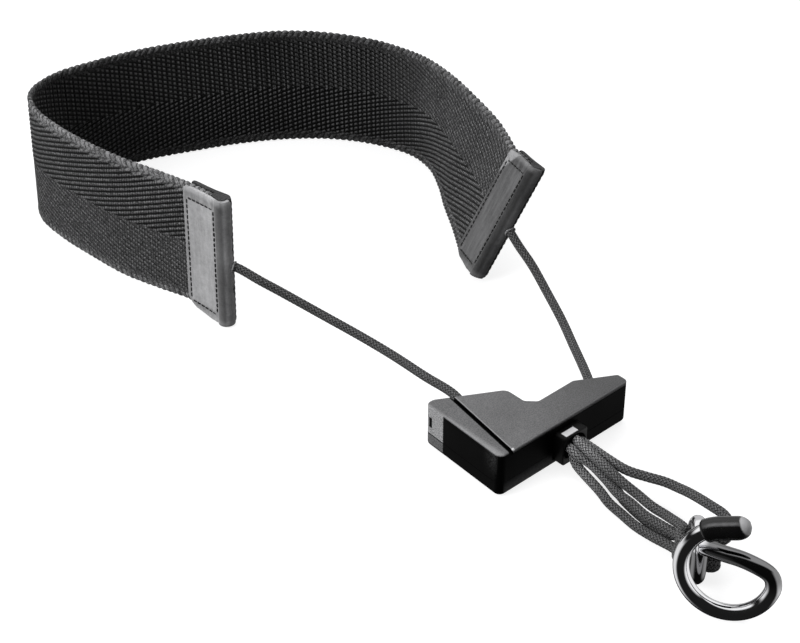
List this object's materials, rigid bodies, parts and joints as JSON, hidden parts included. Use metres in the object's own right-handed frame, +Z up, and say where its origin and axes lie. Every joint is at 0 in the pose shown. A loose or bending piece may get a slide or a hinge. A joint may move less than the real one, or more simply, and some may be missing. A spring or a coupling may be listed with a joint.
{
  "type": "instrument neck strap",
  "caption": "Neck strap for a wind instrument: webbing band, leather tabs, cords through a cord slider, and a wire hook with a rubber-sleeved tip.",
  "frame": {"origin": "on the underside of the slider, below the middle of its body, where the strap rests on a table", "axes": "+Z up out of the table, +Y from the hook towards the neck band, +X to the slider's thin end"},
  "size_m": [0.1416, 0.3501, 0.0524],
  "materials": {
    "webbing": "woven",
    "leather": "smooth grain",
    "cord": "braided",
    "shell": "satin",
    "cover": "fine texture",
    "nozzle": "gloss",
    "steel": "turned",
    "hook": "polished",
    "sleeve": "smooth"
  },
  "bodies": {
    "neck_band": {"neck_webbing": "webbing", "left_tab": "leather", "right_tab": "leather", "left_tab_stopper": "cord", "right_tab_stopper": "cord", "left_neck_cord": "cord", "right_neck_cord": "cord"},
    "slider": {"slider_lower_shell": "shell", "slider_upper_shell": "shell", "slider_cover": "cover", "outlet_nozzle": "nozzle", "guide_posts": "steel", "shell_screws": "steel", "inner_cord_runs": "cord", "inner_stoppers": "cord", "left_loop_cord": "cord", "right_loop_cord": "cord", "tail_cord": "cord"},
    "cord_end": {"tail_stopper": "cord"},
    "hook": {"hook_wire": "hook", "hook_sleeve": "sleeve"}
  },
  "joints": [
    {"name": "slider_slide", "type": "slide", "parent": "neck_band", "child": "slider", "axis": [0, -1, 0], "range_m": [-0.05, 0.05], "deforming": ["left_neck_cord", "right_neck_cord"]},
    {"name": "hook_travel", "type": "slide", "parent": "slider", "child": "cord_end", "axis": [0, -1, 0], "range_m": [-0.025, 0.025], "deforming": ["left_loop_cord", "right_loop_cord", "tail_cord"]},
    {"name": "hook_swing", "type": "hinge", "parent": "cord_end", "child": "hook", "pos_m": [-0.0088, -0.0686, 0.0115], "axis": [0, 0, 1], "range_deg": [-50, 0]}
  ],
  "couplings": [
    {"joint": "hook_travel", "follows": "slider_slide", "ratio": -0.5}
  ]
}
